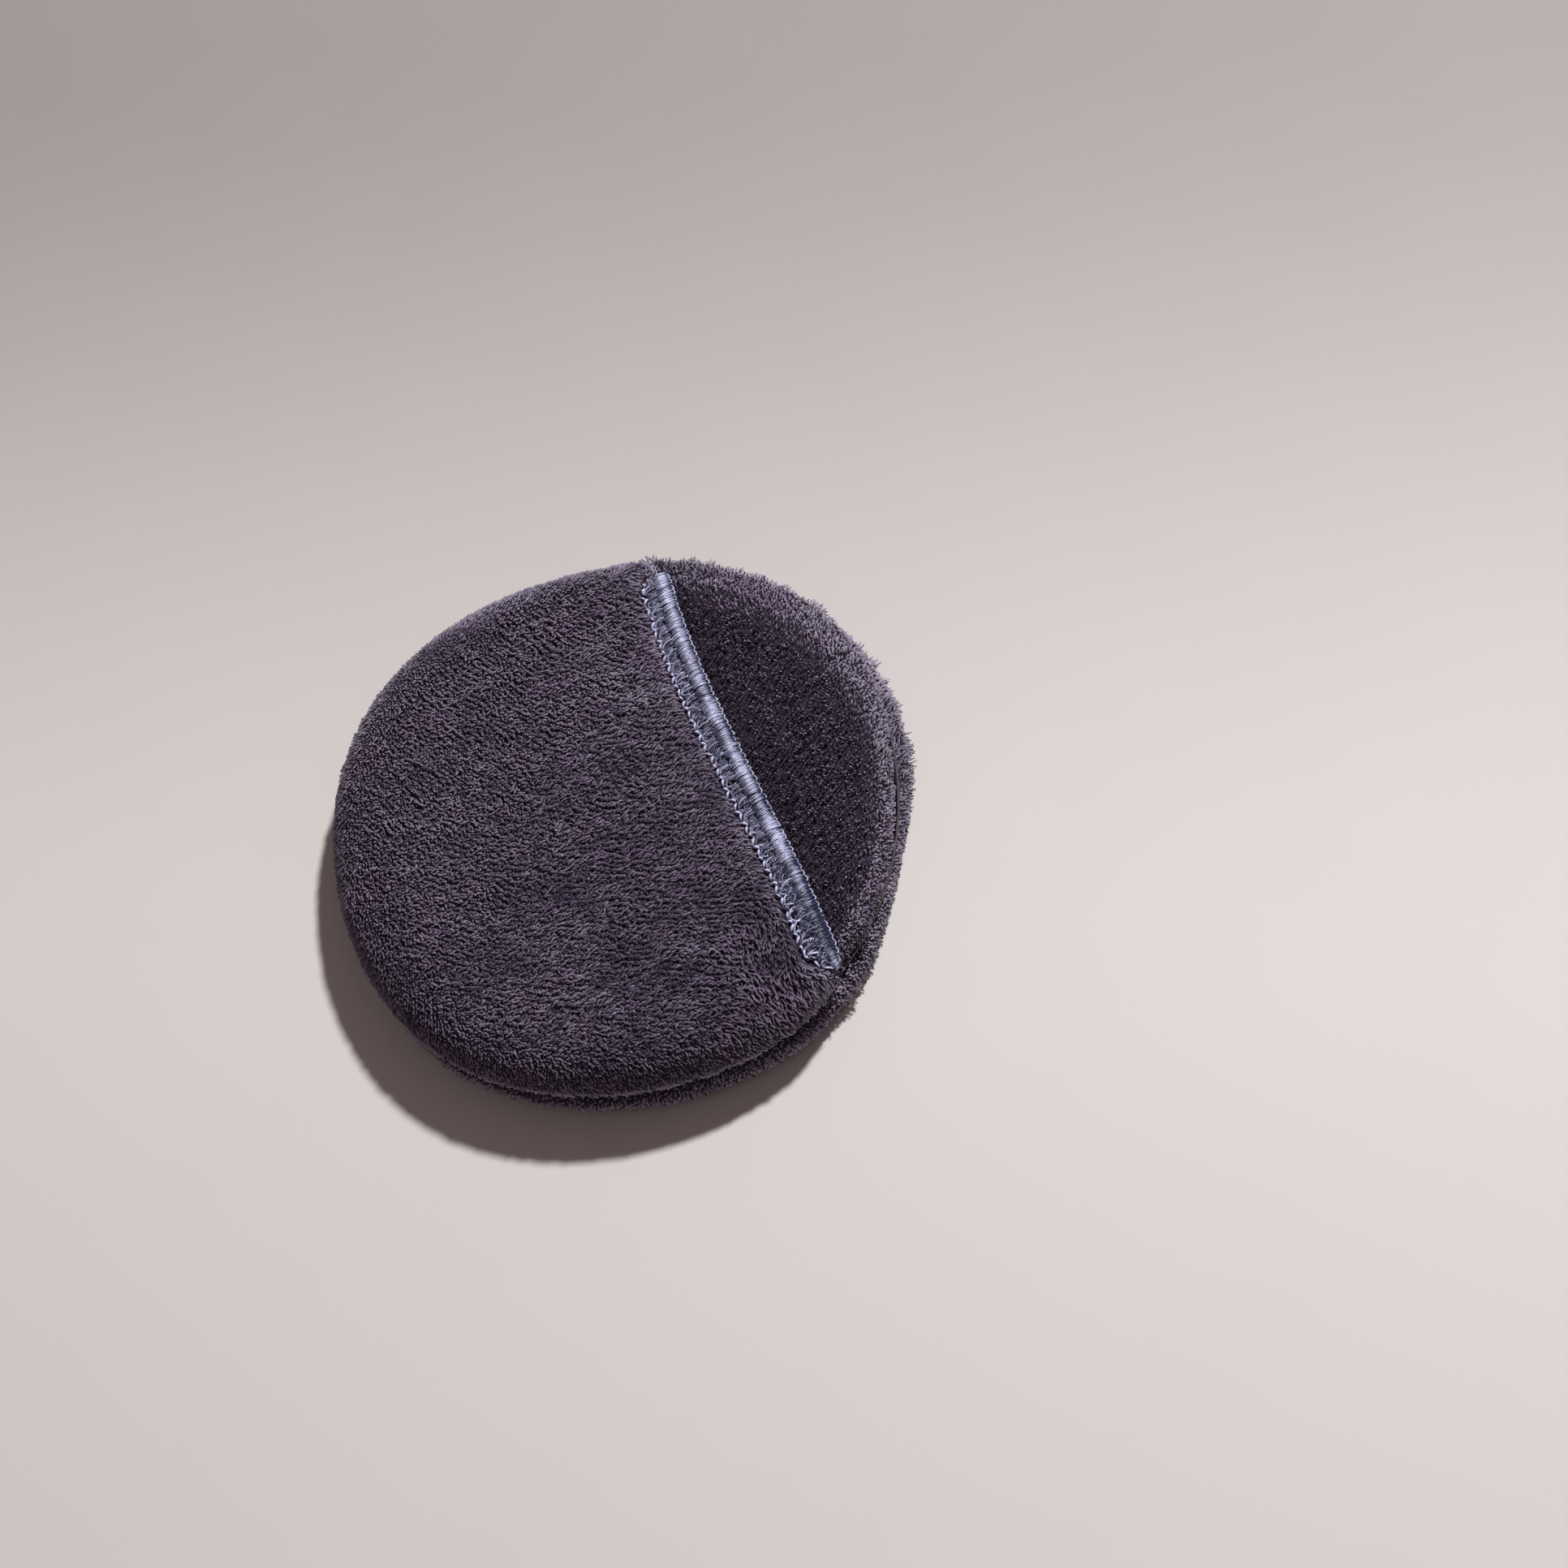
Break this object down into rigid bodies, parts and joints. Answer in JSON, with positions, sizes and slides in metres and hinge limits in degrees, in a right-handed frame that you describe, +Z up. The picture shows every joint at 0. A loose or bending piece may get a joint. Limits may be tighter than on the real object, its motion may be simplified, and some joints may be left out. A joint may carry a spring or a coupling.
{
  "type": "reusable cotton pad",
  "caption": "Round washable cleansing pad of sewn plush panels, with a finger pocket whose straight mouth is overlocked.",
  "frame": {"origin": "middle of the flat underside", "axes": "+Z up through the pad's thickness, +X the way the pocket opens, +Y along the pocket's mouth"},
  "size_m": [0.0896, 0.0895, 0.0132],
  "materials": {
    "plush": "dark violet-grey coral fleece, short dense pile",
    "overlock_thread": "satin bulked polyester thread, blue-grey",
    "seam_thread": "plain spun polyester thread"
  },
  "bodies": {
    "root": {"back_panel": "plush", "front_panel": "plush", "pocket_panel": "plush", "overlock_edge_thread": "overlock_thread", "overlock_looper_thread": "overlock_thread", "overlock_needle_thread": "overlock_thread", "rim_seam_thread": "seam_thread"}
  },
  "joints": []
}
